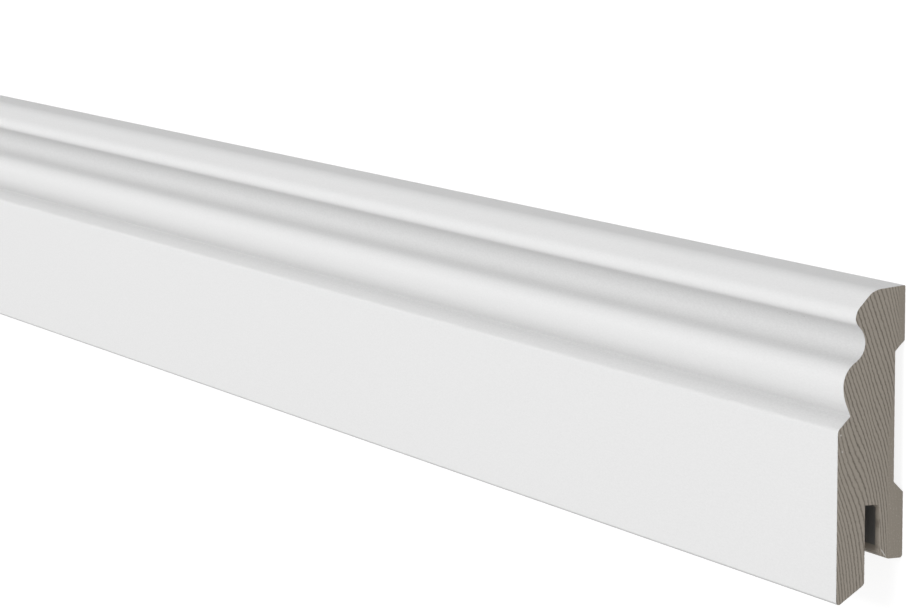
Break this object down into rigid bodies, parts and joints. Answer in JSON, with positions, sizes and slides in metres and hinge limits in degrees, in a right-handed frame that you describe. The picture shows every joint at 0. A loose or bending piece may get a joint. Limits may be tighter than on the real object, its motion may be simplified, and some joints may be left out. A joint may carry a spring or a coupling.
{
  "type": "skirting board length",
  "caption": "Moulded softwood skirting board length with a beaded and coved top edge, white lacquered face, relieved back and a clip slot along its foot.",
  "frame": {"origin": "on the level floor the board lies on, under the middle of its bounding box", "axes": "+X along the board towards its near sawn end, +Y from the foot to the moulded top edge, +Z from the wall side out to the front face, which lies uppermost"},
  "size_m": [2.4, 0.08, 0.019],
  "materials": {
    "lacquered_softwood": "white satin lacquer on the face, top edge and foot edge; bare planed wood on the back and in the slot, bare sawn end grain at both ends"
  },
  "bodies": {
    "root": {"skirting_board": "lacquered_softwood"}
  },
  "joints": []
}
